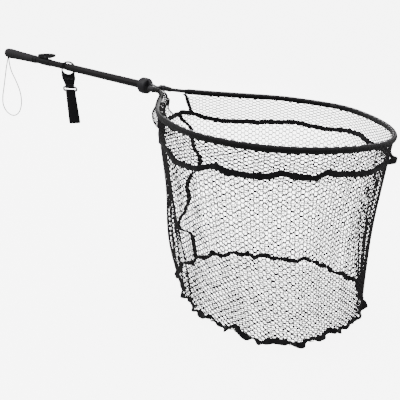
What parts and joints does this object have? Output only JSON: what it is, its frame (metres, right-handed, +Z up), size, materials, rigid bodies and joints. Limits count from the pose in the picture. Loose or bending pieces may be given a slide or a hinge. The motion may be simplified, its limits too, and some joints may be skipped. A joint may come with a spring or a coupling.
{
  "type": "landing net",
  "caption": "Landing net with a telescopic handle, a folding head on a round hub, a rounded triangular hoop, a deep net bag, belt clip, strap and lanyard.",
  "frame": {"origin": "middle of the grip on the handle's axis, where the hand holds it", "axes": "+X along the handle towards the head, +Y to the left of someone holding it, +Z up, square to the hoop's plane"},
  "size_m": [1.3423, 0.6362, 0.4807],
  "materials": {
    "tube_paint": "satin black anodised aluminium",
    "black_plastic": "fine moulded black",
    "hub_plastic": "dark grey moulded, slightly grained",
    "grip_rubber": "dark grey, matt, slanting ridges",
    "cap_rubber": "black, matt",
    "arm_rubber": "black, smooth",
    "steel": "plain",
    "hoop_metal": "dark grey anodised, glossy",
    "cord": "grey braided cord",
    "hem_tape": "black hem with pale grey lacing",
    "webbing": "black woven tape",
    "netting": "dark grey knotless netting"
  },
  "bodies": {
    "handle": {"inner_tube": "tube_paint", "grip_sleeve": "grip_rubber", "butt_cap": "cap_rubber", "grip_collar": "black_plastic", "lanyard_cord": "cord", "clip_base": "black_plastic", "clip_pin": "steel", "clip_spring": "steel", "twist_lock_core": "black_plastic"},
    "clip": {"clip_tongue": "black_plastic"},
    "lock_sleeve": {"twist_lock_sleeve": "black_plastic"},
    "extension": {"outer_tube": "tube_paint", "tube_end_ring": "black_plastic", "hub_half_near": "hub_plastic", "hub_half_far": "hub_plastic", "hub_screw_low": "steel", "hub_screw_high": "steel", "hinge_pin": "steel", "lock_spring": "steel"},
    "button": {"lock_button": "black_plastic"},
    "head": {"yoke": "black_plastic", "near_arm_sleeve": "arm_rubber", "far_arm_sleeve": "arm_rubber", "near_arm_rivet": "steel", "far_arm_rivet": "steel", "hoop_tube": "hoop_metal", "net_hem": "hem_tape", "net_collar": "netting", "net_wall": "netting", "net_bottom": "netting", "band_tape": "webbing", "base_tape": "webbing", "seam_tape": "webbing", "hem_tape": "webbing"},
    "strap": {"strap_loop": "webbing", "strap_ring": "black_plastic"},
    "tail": {"strap_tail": "webbing"}
  },
  "joints": [
    {"name": "telescope_twist", "type": "hinge", "parent": "handle", "child": "lock_sleeve", "pos_m": [0.51, 0, 0], "axis": [1, 0, 0], "range_deg": [0, 90]},
    {"name": "telescope_slide", "type": "slide", "parent": "lock_sleeve", "child": "extension", "axis": [1, 0, 0], "range_m": [0, 0.2]},
    {"name": "head_fold", "type": "hinge", "parent": "extension", "child": "head", "pos_m": [0.5545, 0, 0.0162], "axis": [0, -1, 0], "range_deg": [0, 175]},
    {"name": "lock_press", "type": "slide", "parent": "extension", "child": "button", "axis": [0, 0.5736, 0.8192], "range_m": [0, 0.0022], "stiffness_N_per_m": 400, "springref_m": -0.002, "deforming": ["lock_spring"]},
    {"name": "clip_press", "type": "hinge", "parent": "handle", "child": "clip", "pos_m": [0.13, 0, 0.0165], "axis": [0, 1, 0], "range_deg": [0, 13], "stiffness_Nm_per_rad": 0.4, "springref_deg": -11.46},
    {"name": "strap_swing", "type": "hinge", "parent": "handle", "child": "strap", "pos_m": [0.228, 0, 0], "axis": [1, 0, 0], "range_deg": [-75, 75]},
    {"name": "tail_swing", "type": "hinge", "parent": "strap", "child": "tail", "pos_m": [0.228, 0, -0.072], "axis": [0.6691, 0.7431, 0], "range_deg": [-75, 75]}
  ]
}
